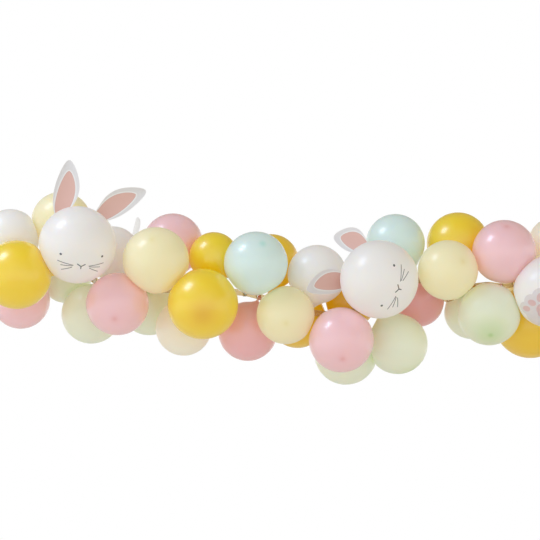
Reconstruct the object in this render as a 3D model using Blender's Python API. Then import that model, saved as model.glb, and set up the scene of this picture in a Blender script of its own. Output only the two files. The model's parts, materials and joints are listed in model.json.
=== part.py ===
"""Balloon garland: latex balloons knotted to a perforated plastic strip, with rabbit ears of printed card.

Everything is in metres, with +Z up. The garland runs along +X and shows its front to -Y.
The origin is on the back of the left hanging tab, beside its hook hole.
"""
from math import acos, cos, hypot, pi, sin, sqrt, tau
from typing import NamedTuple

import bmesh
import bpy
from mathutils import Matrix, Vector

# The strip is a flat band with a row of holes, and a hook hole at each end.
STRIP_WIDTH = 0.022
STRIP_THICKNESS = 0.0016
HOLE_PITCH = 0.050
HOLE_DIAMETER = 0.011
HOLE_SIDES = 8
FIRST_HOLE = 0.060
HOOK_HOLE_DIAMETER = 0.009
HOOK_HOLE_INSET = 0.010
HOLE_WALL = 0.0025
CELL = HOLE_DIAMETER + 2 * HOLE_WALL

# The strip's middle line seen from the front, as the balloons' knots in the gaps show it.
ROUTE = (
    (-0.026, 0.000), (0.030, 0.000), (0.094, -0.005), (0.202, -0.018), (0.292, -0.022), (0.346, -0.018),
    (0.411, 0.011), (0.454, -0.007), (0.504, -0.050), (0.580, -0.076), (0.728, -0.086), (0.886, -0.083),
    (1.044, -0.097), (1.098, -0.110), (1.210, -0.148), (1.314, -0.171), (1.408, -0.169), (1.505, -0.144),
    (1.577, -0.101), (1.635, -0.061), (1.700, -0.054), (1.768, -0.119), (1.822, -0.094), (1.872, -0.074),
    (1.930, -0.068), (1.980, -0.072), (2.074, -0.050), (2.182, -0.040), (2.300, -0.012), (2.386, -0.012),
)
ROUTE_STEPS = 12

# A balloon is a ball that tapers over a share of the way to its knot, less where its knot is close.
# The neck runs on to its hole in the strip.
NECK_DIAMETER = 0.009
NECK_SIDES = 6
TAPER_SHARE = 0.7
TAPER_START = 0.012
SHORT_TAPER_SHARE = 0.25
SHORTEST_TAPER = 0.001
BALL_SIDES = 12
BALL_STEPS = 5
BALL_FIT = 1 / sqrt(cos(pi / BALL_SIDES))

# An ear is a leaf of card with a glue flap that is bent back along its balloon.
EAR_WIDTH = 0.088
EAR_THICKNESS = 0.0012
EAR_CUP = 0.006
EAR_BOW = 0.010
EAR_ROUNDNESS = 0.85
EAR_TIP_WIDTH = 0.0025
FOLD_SHARE = 0.12
EAR_ROWS = 7
FLAP_LENGTH = 0.012
FLAP_ROWS = 2

# Touching pieces keep this gap.
GAP = 0.0003


class Latex(NamedTuple):
    """A balloon colour."""

    colour: tuple
    roughness: float


LATEX = {
    "white": Latex((0.82, 0.81, 0.79), 0.28),
    "yellow": Latex((0.86, 0.60, 0.06), 0.28),
    "pink": Latex((0.84, 0.55, 0.57), 0.28),
    "cream": Latex((0.86, 0.80, 0.57), 0.28),
    "mint": Latex((0.62, 0.76, 0.70), 0.28),
    "green": Latex((0.72, 0.75, 0.57), 0.28),
    "ivory": Latex((0.80, 0.74, 0.58), 0.28),
}
CARD_COLOUR = (0.72, 0.69, 0.66)
CARD_ROUGHNESS = 0.75
STRIP_COLOUR = (0.62, 0.55, 0.42)
STRIP_ROUGHNESS = 0.35


class Balloon(NamedTuple):
    """One balloon: its colour, where its middle is, how wide it is and, if need be, which way its neck points."""

    name: str
    latex: str
    x: float
    y: float
    z: float
    diameter: float
    neck: tuple = None


# From left to right. A negative y is in front of the strip.
BALLOONS = (
    Balloon("balloon_white_1", "white", 0.205, -0.015, 0.100, 0.208),
    Balloon("balloon_pink_1", "pink", 0.232, 0.060, -0.122, 0.211),
    Balloon("balloon_yellow_1", "yellow", 0.241, -0.160, -0.031, 0.224, (1.0, 0.6, 0.0)),
    Balloon("balloon_cream_1", "cream", 0.382, 0.040, 0.160, 0.218),
    Balloon("balloon_green_1", "green", 0.388, 0.130, -0.044, 0.184),
    Balloon("balloon_rabbit_1", "white", 0.463, -0.155, 0.074, 0.270),
    Balloon("balloon_green_2", "green", 0.490, 0.050, -0.173, 0.216),
    Balloon("balloon_white_2", "white", 0.567, 0.065, 0.046, 0.196),
    Balloon("balloon_pink_2", "pink", 0.599, -0.110, -0.134, 0.221),
    Balloon("balloon_green_3", "green", 0.694, 0.130, -0.146, 0.216),
    Balloon("balloon_cream_2", "cream", 0.737, -0.140, 0.020, 0.233),
    Balloon("balloon_pink_3", "pink", 0.785, 0.055, 0.081, 0.220),
    Balloon("balloon_ivory_1", "ivory", 0.827, 0.010, -0.222, 0.202),
    Balloon("balloon_yellow_2", "yellow", 0.903, -0.165, -0.133, 0.247),
    Balloon("balloon_yellow_3", "yellow", 0.937, -0.030, 0.032, 0.179),
    Balloon("balloon_pink_4", "pink", 1.058, 0.035, -0.236, 0.214),
    Balloon("balloon_mint_1", "mint", 1.088, -0.135, 0.009, 0.224),
    Balloon("balloon_yellow_4", "yellow", 1.143, 0.055, 0.016, 0.200),
    Balloon("balloon_cream_3", "cream", 1.193, -0.115, -0.173, 0.205),
    Balloon("balloon_yellow_5", "yellow", 1.239, 0.115, -0.194, 0.213),
    Balloon("balloon_white_3", "white", 1.306, -0.040, -0.030, 0.210),
    Balloon("balloon_pink_5", "pink", 1.389, -0.135, -0.260, 0.228),
    Balloon("balloon_green_4", "green", 1.415, 0.055, -0.326, 0.212),
    Balloon("balloon_yellow_6", "yellow", 1.435, 0.100, -0.128, 0.187),
    Balloon("balloon_rabbit_2", "white", 1.520, -0.170, -0.047, 0.273),
    Balloon("balloon_mint_2", "mint", 1.589, 0.002, 0.081, 0.212),
    Balloon("balloon_green_5", "green", 1.597, 0.001, -0.281, 0.216),
    Balloon("balloon_pink_6", "pink", 1.679, 0.115, -0.123, 0.200),
    Balloon("balloon_cream_4", "cream", 1.765, -0.130, -0.015, 0.211),
    Balloon("balloon_yellow_7", "yellow", 1.819, 0.040, 0.082, 0.225),
    Balloon("balloon_green_6", "green", 1.879, 0.110, -0.165, 0.205),
    Balloon("balloon_green_7", "green", 1.911, -0.120, -0.170, 0.220),
    Balloon("balloon_pink_7", "pink", 1.967, -0.100, 0.050, 0.225),
    Balloon("balloon_yellow_8", "yellow", 2.078, 0.025, -0.201, 0.262),
    Balloon("balloon_cream_5", "cream", 2.089, 0.140, -0.033, 0.184),
    Balloon("balloon_paw", "white", 2.117, -0.175, -0.091, 0.243),
    Balloon("balloon_ivory_2", "ivory", 2.170, 0.015, 0.076, 0.204),
)


class Ear(NamedTuple):
    """One ear: its balloon, its foot on the back of it as shares of the radius, and its tip from the middle.

    The facing vector is roughly square to the card, and the bow is which of its edges is the fuller one.
    """

    name: str
    balloon: str
    foot_x: float
    foot_z: float
    tip: tuple
    facing: tuple
    bow: int


FRONT = (0.0, -1.0, 0.0)
EARS = (
    Ear("ear_1_left", "balloon_rabbit_1", -0.50, 0.80, (-0.038, 0.085, 0.303), FRONT, 1),
    Ear("ear_1_right", "balloon_rabbit_1", 0.50, 0.73, (0.234, 0.075, 0.194), FRONT, -1),
    Ear("ear_2_upper", "balloon_rabbit_2", -0.31, 0.81, (-0.150, 0.215, 0.156), FRONT, 1),
    Ear("ear_2_lower", "balloon_rabbit_2", -0.80, -0.03, (-0.255, -0.051, -0.036), FRONT, 1),
    Ear("ear_3", "balloon_white_2", 0.74, 0.50, (0.068, 0.210, 0.133), (0.68, 0.73, 0.0), 1),
)


class Route:
    """The strip's middle line as a smooth curve that is measured along its length."""

    def __init__(self, corners):
        self.points = []
        for index in range(len(corners) - 1):
            before = Vector(corners[max(index - 1, 0)])
            start = Vector(corners[index])
            end = Vector(corners[index + 1])
            after = Vector(corners[min(index + 2, len(corners) - 1)])
            for step in range(ROUTE_STEPS):
                share = step / ROUTE_STEPS
                self.points.append(smooth_point(before, start, end, after, share))
        self.points.append(Vector(corners[-1]))
        self.lengths = [0.0]
        for one, two in zip(self.points, self.points[1:]):
            self.lengths.append(self.lengths[-1] + (two - one).length)
        self.length = self.lengths[-1]

    def at(self, distance):
        """Gives the point at a distance from the left end, and the direction there, in the plane of the front."""
        index = 0
        while index < len(self.points) - 2 and self.lengths[index + 1] < distance:
            index += 1
        one, two = self.points[index], self.points[index + 1]
        share = (distance - self.lengths[index]) / (two - one).length
        along = (two - one).normalized()
        if 0 < index and share < 0.5:
            along = (two - self.points[index - 1]).normalized()
        elif index < len(self.points) - 2 and share >= 0.5:
            along = (self.points[index + 2] - one).normalized()
        return one.lerp(two, share), along

    def place(self, distance, across, depth):
        """Turns a place on the flat strip into a place on the hanging one."""
        point, along = self.at(distance)
        point = point + Vector((-along.y, along.x)) * across
        return Vector((point.x, depth, point.y))


def smooth_point(before, start, end, after, share):
    """A point between start and end on a curve that runs smoothly through its neighbours."""
    leave = (end - before) / 2
    arrive = (after - start) / 2
    square = share * share
    cube = square * share
    return (start * (2 * cube - 3 * square + 1) + leave * (cube - 2 * square + share)
            + end * (3 * square - 2 * cube) + arrive * (cube - square))


def hole_places(route):
    """Distances along the strip of the holes that balloons are tied to, all one pitch apart."""
    last = route.length - FIRST_HOLE
    count = int((last - FIRST_HOLE) / HOLE_PITCH) + 1
    return [FIRST_HOLE + HOLE_PITCH * index for index in range(count)]


def punched_places(route, holes):
    """Distances along the strip of all its holes, each with the hole's diameter."""
    places = [(HOOK_HOLE_INSET, HOOK_HOLE_DIAMETER)]
    places += [(place, HOLE_DIAMETER) for place in holes]
    places.append((route.length - HOOK_HOLE_INSET, HOOK_HOLE_DIAMETER))
    return places


def clear_scene():
    for thing in list(bpy.data.objects):
        bpy.data.objects.remove(thing, do_unlink=True)


def make_material(name, colour, roughness):
    material = bpy.data.materials.new(name)
    material.use_nodes = True
    shader = material.node_tree.nodes["Principled BSDF"]
    shader.inputs["Base Color"].default_value = (*colour, 1.0)
    shader.inputs["Roughness"].default_value = roughness
    shader.inputs["Metallic"].default_value = 0.0
    material.diffuse_color = (*colour, 1.0)
    return material


def finish_object(bm, name, material, smooth_angle):
    """Turns a bmesh into a named object with its faces pointing outwards."""
    bmesh.ops.recalc_face_normals(bm, faces=bm.faces)
    mesh = bpy.data.meshes.new(name)
    bm.to_mesh(mesh)
    bm.free()
    mesh.materials.append(material)
    if smooth_angle:
        mesh.shade_smooth()
        mesh.set_sharp_from_angle(angle=smooth_angle)
    thing = bpy.data.objects.new(name, mesh)
    bpy.context.scene.collection.objects.link(thing)
    return thing


def punched_cell(bm, centre, hole_diameter):
    """One square of the flat strip with a round hole in it. Gives its left and its right pair of corners."""
    half = CELL / 2
    edge = STRIP_WIDTH / 2
    corners = [bm.verts.new((centre + sx * half, sz * edge, 0.0)) for sx, sz in ((1, 1), (-1, 1), (-1, -1), (1, -1))]
    rim = []
    for side in range(HOLE_SIDES):
        angle = tau * (side + 0.5) / HOLE_SIDES
        rim.append(bm.verts.new((centre + cos(angle) * hole_diameter / 2, sin(angle) * hole_diameter / 2, 0.0)))
    per_corner = HOLE_SIDES // 4
    for index, corner in enumerate(corners):
        first = index * per_corner
        for step in range(per_corner - 1):
            bm.faces.new((corner, rim[first + step + 1], rim[first + step]))
        after = corners[(index + 1) % 4]
        bm.faces.new((corner, after, rim[(first + per_corner) % HOLE_SIDES], rim[first + per_corner - 1]))
    return (corners[1], corners[2]), (corners[0], corners[3])


def build_strip(route, places, material):
    """The strip is laid out flat with all its holes, thickened, and then bent along its route."""
    bm = bmesh.new()
    edge = STRIP_WIDTH / 2
    last_pair = (bm.verts.new((0.0, edge, 0.0)), bm.verts.new((0.0, -edge, 0.0)))
    for place, diameter in places:
        left, right = punched_cell(bm, place, diameter)
        bm.faces.new((last_pair[0], last_pair[1], left[1], left[0]))
        last_pair = right
    end_pair = (bm.verts.new((route.length, edge, 0.0)), bm.verts.new((route.length, -edge, 0.0)))
    bm.faces.new((last_pair[0], last_pair[1], end_pair[1], end_pair[0]))
    grown = bmesh.ops.extrude_face_region(bm, geom=bm.faces[:])["geom"]
    lifted = [item for item in grown if isinstance(item, bmesh.types.BMVert)]
    bmesh.ops.translate(bm, verts=lifted, vec=(0.0, 0.0, STRIP_THICKNESS))
    for vert in bm.verts:
        distance, across, height = vert.co
        vert.co = route.place(distance, across, -height)
    return finish_object(bm, "strip", material, 0.0)


class Plan:
    """Where one balloon lies: its ball, its axis from crown to neck, and its knot at the strip."""

    def __init__(self, row, knot):
        self.row = row
        self.middle = Vector((row.x, row.y, row.z))
        self.radius = row.diameter / 2
        self.knot = knot
        self.axis = (Vector(row.neck) if row.neck else knot - self.middle).normalized()
        reach = (knot - self.middle).dot(self.axis)
        spare = reach - self.radius
        long_taper = spare * TAPER_SHARE - TAPER_START
        self.taper = self.radius + max(long_taper, spare * SHORT_TAPER_SHARE, SHORTEST_TAPER)
        self.throat = self.middle + self.axis * self.radius


def front_side(row):
    return row.y < 0.0


def knot_point(row, hole):
    """Where a neck ends: on the face of the strip at its hole, with its rim just clear of the face."""
    middle = Vector((row.x, row.y, row.z))
    side = -1.0 if front_side(row) else 1.0
    face = -STRIP_THICKNESS if front_side(row) else 0.0
    away = middle - hole
    level = hypot(away.x, away.z) / away.length
    lift = GAP + level * NECK_DIAMETER / 2 / cos(pi / NECK_SIDES)
    return Vector((hole.x, face + side * lift, hole.z))


def make_plans(route, holes):
    """Gives each balloon the nearest hole that none on its own side of the strip has taken."""
    spots = [route.place(place, 0.0, -STRIP_THICKNESS / 2) for place in holes]
    taken = {True: set(), False: set()}
    plans = []
    for row in BALLOONS:
        used = taken[front_side(row)]
        middle = Vector((row.x, row.y, row.z))
        target = middle + (Vector(row.neck).normalized() * row.diameter / 2 if row.neck else Vector())
        free = [index for index in range(len(spots)) if index not in used]
        nearest = min(free, key=lambda index: (spots[index] - target).length)
        used.add(nearest)
        plans.append(Plan(row, knot_point(row, spots[nearest])))
    return plans


def ball_outline(plan):
    """Half the outline of a ball with its taper, from the crown to the tip, as (along the axis, off the axis)."""
    end = acos(plan.radius / plan.taper)
    points = []
    for step in range(BALL_STEPS + 1):
        angle = pi + (end - pi) * step / BALL_STEPS
        points.append((plan.radius * cos(angle), plan.radius * sin(angle) * BALL_FIT))
    points.append((plan.taper, 0.0))
    return points


def turned_solid(outline, sides):
    """Spins an outline that starts and ends on the Z axis into a closed solid."""
    bm = bmesh.new()
    verts = [bm.verts.new((off, 0.0, along)) for along, off in outline]
    edges = [bm.edges.new(pair) for pair in zip(verts, verts[1:])]
    bmesh.ops.spin(bm, geom=verts + edges, axis=(0, 0, 1), cent=(0, 0, 0), steps=sides, angle=tau,
                   use_merge=True)
    bmesh.ops.remove_doubles(bm, verts=bm.verts, dist=1e-6)
    return bm


def turn_onto(axis):
    """The rotation that turns +Z onto an axis."""
    return axis.to_track_quat("Z", "Y").to_matrix().to_4x4()


def trim(bm, point, away):
    """Cuts off what lies beyond a plane and closes the cut with one flat face."""
    everything = bm.verts[:] + bm.edges[:] + bm.faces[:]
    cut = bmesh.ops.bisect_plane(bm, geom=everything, dist=1e-6, plane_co=point, plane_no=away, clear_outer=True)
    rim = [item for item in cut["geom_cut"] if isinstance(item, bmesh.types.BMEdge)]
    if rim:
        bmesh.ops.contextual_create(bm, geom=rim)


def press_planes(plan, plans, pieces):
    """Planes at which a ball stops: against its neighbours, their necks and the strip."""
    planes = []
    for other in plans:
        if other is plan:
            continue
        between = other.middle - plan.middle
        distance = between.length
        if distance < plan.taper + other.taper:
            share = (distance ** 2 + plan.radius ** 2 - other.radius ** 2) / (2 * distance)
            away = between / distance
            planes.append((plan.middle + away * (share - GAP / 2), away))
        planes.append(stop_plane(plan.middle, other.throat, other.knot, NECK_DIAMETER / 2 + GAP, 0.0))
    for start, end in pieces:
        flat = STRIP_THICKNESS / 2 + GAP
        planes.append(stop_plane(plan.middle, start, end, flat, STRIP_WIDTH / 2 - STRIP_THICKNESS / 2))
    return planes


def stop_plane(middle, start, end, thickness, extra_width):
    """The plane that keeps a ball clear of a straight bar, which may be wider in the plane of the front."""
    run = end - start
    share = (middle - start).dot(run) / run.length_squared
    nearest = start + run * min(max(share, 0.0), 1.0)
    away = (nearest - middle).normalized()
    reach = thickness + extra_width * hypot(away.x, away.z)
    return nearest - away * reach, away


def strip_pieces(route, places):
    """The strip's middle line as the straight pieces that it is made of, at its holes and between them."""
    stations = [0.0]
    for place, _ in places:
        stations += [place - CELL / 2, place + CELL / 2]
    stations.append(route.length)
    line = [route.place(station, 0.0, -STRIP_THICKNESS / 2) for station in stations]
    return list(zip(line, line[1:]))


def build_neck(plan, name):
    """The neck: a thin round bar from inside the ball to the knot. It only guides the balloon's own shape."""
    start = plan.middle + plan.axis * plan.radius * 0.8
    run = plan.knot - start
    bm = bmesh.new()
    bmesh.ops.create_cone(bm, cap_ends=True, segments=NECK_SIDES, radius1=NECK_DIAMETER / 2,
                          radius2=NECK_DIAMETER / 2, depth=run.length,
                          matrix=Matrix.Translation(start.lerp(plan.knot, 0.5)) @ turn_onto(run.normalized()))
    mesh = bpy.data.meshes.new(name)
    bm.to_mesh(mesh)
    bm.free()
    neck = bpy.data.objects.new(name, mesh)
    bpy.context.scene.collection.objects.link(neck)
    neck.hide_render = True
    neck.display_type = "WIRE"
    return neck


def build_balloon(plan, plans, pieces, material):
    bm = turned_solid(ball_outline(plan), BALL_SIDES)
    bmesh.ops.transform(bm, verts=bm.verts, matrix=Matrix.Translation(plan.middle) @ turn_onto(plan.axis))
    bmesh.ops.recalc_face_normals(bm, faces=bm.faces)
    for point, away in press_planes(plan, plans, pieces):
        trim(bm, point, away)
    bmesh.ops.dissolve_degenerate(bm, dist=1e-5, edges=bm.edges)
    balloon = finish_object(bm, plan.row.name, material, pi / 5)
    union = balloon.modifiers.new("neck", "BOOLEAN")
    union.operation = "UNION"
    union.solver = "EXACT"
    union.object = build_neck(plan, "neck_of_" + plan.row.name)
    return balloon


def leaf_half_width(share):
    """Half the width of an ear at a share of its length."""
    return (EAR_TIP_WIDTH + (EAR_WIDTH - EAR_TIP_WIDTH) * sin(pi * share) ** EAR_ROUNDNESS) / 2


def ear_rows(ear, plan):
    """The middle sheet of an ear, row by row from the flap's end to the tip, as (place, outward direction) pairs."""
    back = sqrt(1 - ear.foot_x ** 2 - ear.foot_z ** 2)
    out = Vector((ear.foot_x, back, ear.foot_z))
    seat = plan.radius * BALL_FIT + GAP + EAR_THICKNESS / 2
    foot = plan.middle + out * seat
    run = plan.middle + Vector(ear.tip) - foot
    along = run.normalized()
    side = along.cross(Vector(ear.facing)).normalized()
    face = side.cross(along)
    backward = (Vector((0.0, 1.0, 0.0)) - out * out.y).normalized()
    turn = 1 if side.cross(-backward).dot(out) > 0 else -1
    steps = (-1, 0, 1)
    base = leaf_half_width(FOLD_SHARE)
    fold = [plan.middle + (foot + side * base * step - plan.middle).normalized() * seat for step in steps]
    rows = []
    for index in range(FLAP_ROWS, 0, -1):
        row = []
        for place in fold:
            away = (place + backward * FLAP_LENGTH * index / FLAP_ROWS - plan.middle).normalized()
            row.append((plan.middle + away * seat, away * turn))
        rows.append(row)
    rows.append([(place, ((place - plan.middle).normalized() * turn + face).normalized()) for place in fold])
    for index in range(1, EAR_ROWS + 1):
        half = leaf_half_width(FOLD_SHARE + (1 - FOLD_SHARE) * index / EAR_ROWS)
        centre = foot + along * run.length * index / EAR_ROWS
        centre = centre + side * EAR_BOW * ear.bow * sin(pi * index / EAR_ROWS)
        lift = EAR_CUP * half / (EAR_WIDTH / 2)
        rows.append([(centre + side * half * step + face * lift * abs(step), face) for step in steps])
    return rows


def build_ear(ear, plan, material):
    """A leaf of card that stands on its balloon, with its glue flap bent back along it."""
    bm = bmesh.new()
    rows = ear_rows(ear, plan)
    lower, upper = ([[bm.verts.new(place + away * offset) for place, away in row] for row in rows]
                    for offset in (-EAR_THICKNESS / 2, EAR_THICKNESS / 2))
    for sheet in (lower, upper):
        for one, two in zip(sheet, sheet[1:]):
            for step in range(2):
                bm.faces.new((one[step], one[step + 1], two[step + 1], two[step]))
    for row in range(len(rows) - 1):
        for step in (0, 2):
            bm.faces.new((lower[row][step], lower[row + 1][step], upper[row + 1][step], upper[row][step]))
    for row in (0, len(rows) - 1):
        for step in range(2):
            bm.faces.new((lower[row][step], lower[row][step + 1], upper[row][step + 1], upper[row][step]))
    return finish_object(bm, ear.name, material, 0.0)


def main():
    clear_scene()
    route = Route(ROUTE)
    holes = hole_places(route)
    places = punched_places(route, holes)
    pieces = strip_pieces(route, places)
    build_strip(route, places, make_material("strip_plastic", STRIP_COLOUR, STRIP_ROUGHNESS))
    plans = make_plans(route, holes)
    latex = {name: make_material("latex_" + name, kind.colour, kind.roughness) for name, kind in LATEX.items()}
    for plan in plans:
        build_balloon(plan, plans, pieces, latex[plan.row.latex])
    card = make_material("ear_card", CARD_COLOUR, CARD_ROUGHNESS)
    by_name = {plan.row.name: plan for plan in plans}
    for ear in EARS:
        build_ear(ear, by_name[ear.balloon], card)


main()
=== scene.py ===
"""Looks of a balloon garland: glossy latex balloons, printed card ears and a punched plastic strip.

It is laid out as an add-on and run as a script. Everything is in metres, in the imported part's own frame.
"""
import json
from math import acos, atan, cos, hypot, pi, radians, sin, sqrt, tau
from typing import NamedTuple

import bmesh
import bpy
import numpy as np
from bpy.props import FloatProperty, FloatVectorProperty, IntProperty, PointerProperty
from mathutils import Matrix, Vector

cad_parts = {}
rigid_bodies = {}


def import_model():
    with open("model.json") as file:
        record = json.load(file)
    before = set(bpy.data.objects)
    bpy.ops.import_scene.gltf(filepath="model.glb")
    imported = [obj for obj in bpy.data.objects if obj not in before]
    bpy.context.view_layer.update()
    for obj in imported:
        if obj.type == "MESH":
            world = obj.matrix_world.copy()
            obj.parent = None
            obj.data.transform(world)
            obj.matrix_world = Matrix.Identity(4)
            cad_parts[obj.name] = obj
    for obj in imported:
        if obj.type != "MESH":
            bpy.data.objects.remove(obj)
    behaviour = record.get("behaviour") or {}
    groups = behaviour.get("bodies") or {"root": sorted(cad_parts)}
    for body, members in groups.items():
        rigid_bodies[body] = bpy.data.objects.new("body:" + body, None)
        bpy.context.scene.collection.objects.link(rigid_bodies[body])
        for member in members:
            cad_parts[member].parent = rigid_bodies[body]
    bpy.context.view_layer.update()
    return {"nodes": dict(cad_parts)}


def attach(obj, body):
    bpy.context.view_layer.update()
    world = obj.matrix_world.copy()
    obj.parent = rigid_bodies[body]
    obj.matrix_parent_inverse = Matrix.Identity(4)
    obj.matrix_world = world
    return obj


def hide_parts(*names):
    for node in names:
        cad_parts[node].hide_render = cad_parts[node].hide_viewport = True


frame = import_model()

bl_info = {
    "name": "Balloon garland",
    "version": (1, 0, 0),
    "blender": (4, 5, 0),
    "location": "3D View > Sidebar > Garland",
    "description": "Makes a pastel balloon garland around its packed solids",
    "category": "Object",
}

BODY = "root"
# How near two corners are one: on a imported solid, and on a new spun shape.
PACKED_MERGE = 1e-5
SPUN_MERGE = 1e-6
UP = Vector((0.0, 0.0, 1.0))
BACK = Vector((0.0, 1.0, 0.0))


def paint(red, green, blue):
    """A colour given as it looks on a screen, from 0 to 255, as the linear values that shaders take."""
    linear = []
    for level in (red, green, blue):
        share = level / 255
        linear.append(share / 12.92 if share <= 0.04045 else ((share + 0.055) / 1.055) ** 2.4)
    return tuple(linear)


# A balloon's latex is the word in its node's name, and these printed ones are white.
PRINTED_LATEX = {"rabbit": "white", "paw": "white"}
# These balloons get more thickness, so they are deeper in colour all over: painted shade for balloons that
# sit in shadow in the garland.
PAINTED_SHADE_DEPTH = {
    "balloon_yellow_4": 0.35, "balloon_yellow_5": 0.35, "balloon_yellow_6": 0.75,
    "balloon_yellow_8": 0.30, "balloon_pink_4": 0.40, "balloon_pink_6": 0.75,
}


class Crown(NamedTuple):
    """The thicker latex at a crown: its depth, its width in radians, and the depth of its middle spot."""

    depth: float
    width: float
    spot: float


PLAIN_CROWN = Crown(0.20, 0.15, 0.3)
PRINTED_CROWN = Crown(0.10, 0.30, 0.0)
CROWNS = {
    "balloon_green_7": Crown(0.60, 0.65, 0.6),
    "balloon_green_5": Crown(0.75, 0.50, 0.5),
    "balloon_yellow_2": Crown(0.50, 0.38, 0.0),
    "balloon_mint_1": Crown(0.65, 0.11, 0.0),
    "balloon_rabbit_1": PRINTED_CROWN,
    "balloon_rabbit_2": PRINTED_CROWN,
    "balloon_paw": PRINTED_CROWN,
}
# This balloon's neck leaves it sideways and bends back to its knot.
BENT_NECK = {"balloon_yellow_1": Vector((1.0, 0.6, 0.0)).normalized()}


class Stroke(NamedTuple):
    """A printed line on one half of a face, in shares of the balloon's radius from the face's middle."""

    start: tuple
    end: tuple
    half_width: float


# The printed face, which is the same on both sides of its middle line.
FACE_STROKES = (
    Stroke((0.530, 0.113), (0.530, 0.113), 0.029),
    Stroke((0.000, -0.134), (0.097, -0.072), 0.014),
    Stroke((0.000, -0.134), (0.000, -0.200), 0.014),
    Stroke((0.200, -0.120), (0.585, -0.085), 0.009),
    Stroke((0.220, -0.142), (0.500, -0.185), 0.009),
    Stroke((0.228, -0.188), (0.465, -0.325), 0.009),
)


class Print(NamedTuple):
    """Which way a print faces on its balloon, and which way is up on it."""

    outward: tuple
    upward: tuple


FACES = {
    "balloon_rabbit_1": Print((0.205, -0.870, -0.449), (0.162, -0.423, 0.892)),
    "balloon_rabbit_2": Print((0.318, -0.925, -0.210), (-0.905, -0.362, 0.224)),
}


class Spot(NamedTuple):
    """A printed oval on one half of a paw: its middle and half sizes in radii, and its turn in degrees."""

    middle: tuple
    half_sizes: tuple
    turn: float


# The printed paw, which is the same on both sides of its middle line: the pads, and the fur round them.
PADS = (
    Spot((0.145, 0.200), (0.122, 0.088), 36.0),
    Spot((0.424, 0.136), (0.122, 0.088), 16.0),
    Spot((0.000, -0.130), (0.200, 0.190), 0.0),
    Spot((0.120, -0.220), (0.130, 0.115), 40.0),
)
FUR = (
    Spot((0.150, 0.215), (0.230, 0.220), 0.0),
    Spot((0.424, 0.136), (0.225, 0.205), 0.0),
    Spot((0.000, -0.330), (0.700, 0.620), 0.0),
)
PAW_BALLOON = "balloon_paw"
PAW = Print((-0.398, -0.830, -0.392), (-0.635, -0.040, 0.771))


class Ear(NamedTuple):
    """One ear: its balloon, its foot on the back of it in radii, and its tip from the balloon's middle.

    facing is the way its printed side faces, and bow is 1 or -1 for the side that it bows to.
    """

    name: str
    balloon: str
    foot_x: float
    foot_z: float
    tip: tuple
    facing: tuple
    bow: int


FRONT = (0.0, -1.0, 0.0)
EARS = (
    Ear("ear_1_left", "balloon_rabbit_1", -0.50, 0.80, (-0.038, 0.085, 0.303), FRONT, 1),
    Ear("ear_1_right", "balloon_rabbit_1", 0.50, 0.73, (0.234, 0.075, 0.194), FRONT, -1),
    Ear("ear_2_upper", "balloon_rabbit_2", -0.31, 0.81, (-0.150, 0.215, 0.156), FRONT, 1),
    Ear("ear_2_lower", "balloon_rabbit_2", -0.80, -0.03, (-0.255, -0.051, -0.036), FRONT, 1),
    Ear("ear_3", "balloon_white_2", 0.74, 0.50, (0.068, 0.210, 0.133), (0.68, 0.73, 0.0), 1),
)


def tint(name, description, red, green, blue):
    return FloatVectorProperty(name=name, description=description, default=paint(red, green, blue), size=3,
                               min=0.0, max=1.0, subtype="COLOR")


def stretched(latex, *levels):
    return tint(latex, latex + " latex, stretched", *levels)


def thick(latex, *levels):
    return tint(latex + ", thick", latex + " latex at its crown and neck", *levels)


def length(name, description, default):
    return FloatProperty(name=name, description=description, default=default, min=0.0, unit="LENGTH",
                         precision=4)


def fraction(name, description, default, least=0.1, most=0.95):
    return FloatProperty(name=name, description=description, default=default, min=least, max=most,
                         subtype="FACTOR")


def number(name, description, default, least=0.0):
    return FloatProperty(name=name, description=description, default=default, min=least)


def count(name, description, default, least, most):
    return IntProperty(name=name, description=description, default=default, min=least, max=most)


class LatexColours(bpy.types.PropertyGroup):
    """The colour of each latex where it is stretched thin, and where it is thick."""

    white: stretched("White", 232, 230, 227)
    white_deep: thick("White", 222, 216, 205)
    yellow: stretched("Yellow", 243, 210, 26)
    yellow_deep: thick("Yellow", 210, 154, 8)
    pink: stretched("Pink", 240, 198, 204)
    pink_deep: thick("Pink", 214, 140, 138)
    cream: stretched("Cream", 239, 229, 190)
    cream_deep: thick("Cream", 228, 212, 150)
    mint: stretched("Mint", 211, 229, 225)
    mint_deep: thick("Mint", 160, 214, 204)
    green: stretched("Green", 229, 232, 212)
    green_deep: thick("Green", 176, 205, 146)
    ivory: stretched("Ivory", 240, 234, 214)
    ivory_deep: thick("Ivory", 220, 196, 158)
    print_ink: tint("Ink", "Ink of the printed faces", 54, 56, 60)
    print_fur: tint("Fur", "Ink of the printed paw's fur", 211, 206, 206)
    print_pad: tint("Pads", "Ink of the printed paw's pads", 207, 179, 177)


class BalloonSizes(bpy.types.PropertyGroup):
    """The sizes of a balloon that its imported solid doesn't give."""

    taper_share: fraction("Taper", "Share of the way to its knot over which a ball tapers", 0.7)
    taper_start: length("Taper start", "How much shorter every taper is", 0.012)
    short_taper: fraction("Short taper", "The least share of the way over which it tapers", 0.25)
    neck_radius: length("Neck radius", "Radius of the neck where it leaves the ball", 0.0042)
    strip_neck_radius: length("Pulled neck radius", "Radius of the neck in the strip's hole", 0.0023)
    knot_radius: length("Knot radius", "Radius of the knot behind the strip", 0.0062)
    lip_radius: length("Lip radius", "Radius of the rolled lip at the end of the tail", 0.0072)
    tail_length: length("Tail length", "From the strip to the end of the tail", 0.024)
    softness: length("Softness", "How round a ball stays at the edge of a pressed patch", 0.012)
    ball_sides: count("Sides", "Sides of a balloon", 72, 16, 128)
    ball_rings: count("Rings", "Rings of a ball from its crown to its taper", 64, 16, 128)


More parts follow.
